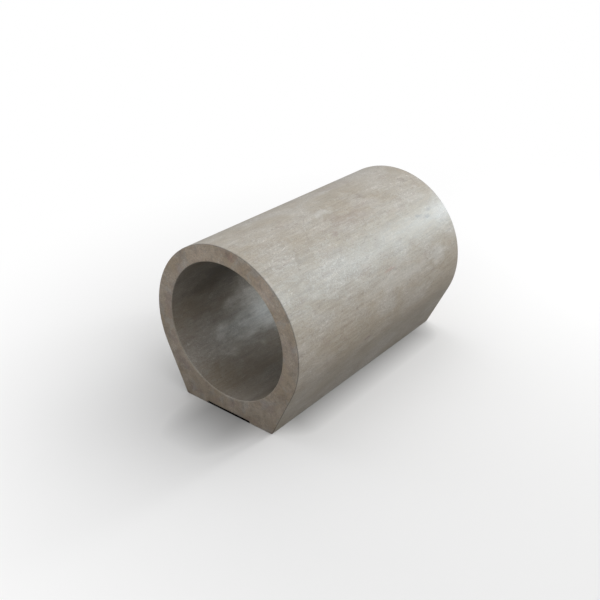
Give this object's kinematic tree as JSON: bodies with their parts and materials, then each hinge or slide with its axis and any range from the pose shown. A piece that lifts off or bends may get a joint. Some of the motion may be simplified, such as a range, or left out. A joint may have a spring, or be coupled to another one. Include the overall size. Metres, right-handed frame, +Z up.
{
  "type": "concrete culvert pipe",
  "caption": "Straight precast concrete culvert pipe with a round bore, a round barrel that narrows through straight flanks to a flat base, and a shallow recess along the middle of the base.",
  "frame": {"origin": "middle of the flat base, halfway along the pipe, at floor level", "axes": "+X across the pipe, +Y along the waterway, +Z up; the two ends are alike"},
  "size_m": [1.26, 2, 1.26],
  "materials": {
    "concrete": "fair-faced cast concrete, matt"
  },
  "bodies": {
    "root": {"culvert_pipe": "concrete"}
  },
  "joints": []
}
